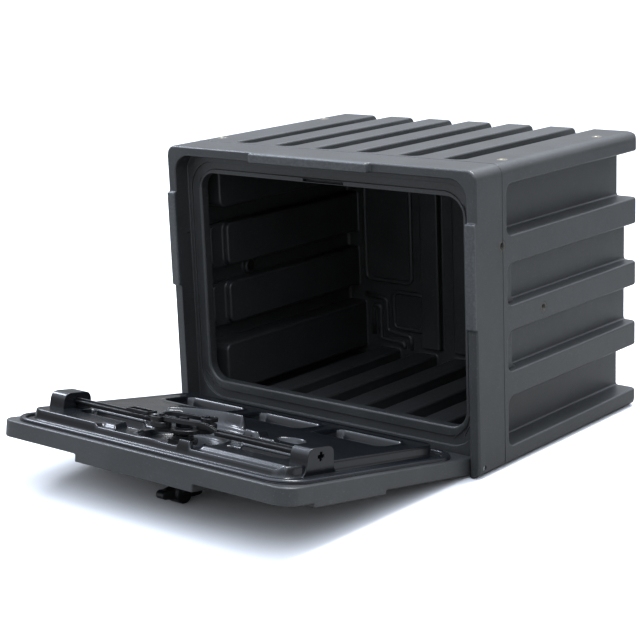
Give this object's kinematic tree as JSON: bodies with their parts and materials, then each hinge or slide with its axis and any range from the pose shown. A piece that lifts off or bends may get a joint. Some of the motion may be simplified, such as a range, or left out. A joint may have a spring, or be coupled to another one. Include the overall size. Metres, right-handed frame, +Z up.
{
  "type": "storage case",
  "caption": "Ribbed moulded storage case, open at the front, with a bottom-hinged sealed door that a T-handle locks by pushing two rods behind the frame.",
  "frame": {"origin": "On the floor, at the middle of the case's base; the open door reaches out towards -Y.", "axes": "+Z up, +X to the right seen from the front, +Y from the front face to the back wall."},
  "size_m": [0.6, 0.8507, 0.45],
  "materials": {
    "shell": "fine-grained moulded polyethylene, charcoal",
    "liner": "satin moulded polyethylene, near black",
    "latch_black": "glass-filled nylon, black",
    "steel": "zinc-plated steel",
    "brass": "turned brass",
    "seal": "EPDM rubber, black"
  },
  "bodies": {
    "case": {"case_shell": "shell", "case_top_inserts": "brass", "case_side_inserts_left": "brass", "case_side_inserts_right": "brass", "hinge_pin_left": "steel", "hinge_pin_right": "steel"},
    "door": {"hinge_bush_left": "latch_black", "hinge_bush_right": "latch_black", "door_shell": "shell", "door_liner": "liner", "door_gasket": "seal", "liner_screws": "steel", "latch_housing": "latch_black", "housing_seal": "seal", "housing_nut": "latch_black", "spindle_o_ring": "seal"},
    "handle": {"t_handle": "latch_black", "handle_spindle": "steel", "handle_cross_pin": "steel", "latch_rotor": "latch_black", "rotor_washer": "steel", "rotor_nut": "steel", "crank_pins": "steel", "crank_rollers": "latch_black", "crank_pin_clips": "steel"},
    "right_rod": {"right_latch_rod": "latch_black"},
    "left_rod": {"left_latch_rod": "latch_black"}
  },
  "joints": [
    {"name": "door_hinge", "type": "hinge", "parent": "case", "child": "door", "pos_m": [0, -0.212, 0.015], "axis": [-1, 0, 0], "range_deg": [0, 79.96]},
    {"name": "handle_turn", "type": "hinge", "parent": "door", "child": "handle", "pos_m": [0, -0.52513, 0.07044], "axis": [0, 0.1743, 0.9847], "range_deg": [0, 90]},
    {"name": "right_rod_slide", "type": "slide", "parent": "door", "child": "right_rod", "axis": [1, 0, 0], "range_m": [0, 0.0453]},
    {"name": "left_rod_slide", "type": "slide", "parent": "door", "child": "left_rod", "axis": [-1, 0, 0], "range_m": [0, 0.0453]}
  ],
  "couplings": [
    {"joint": "right_rod_slide", "follows": "handle_turn", "m_per_rad": 0.028807},
    {"joint": "left_rod_slide", "follows": "handle_turn", "m_per_rad": 0.028807}
  ]
}
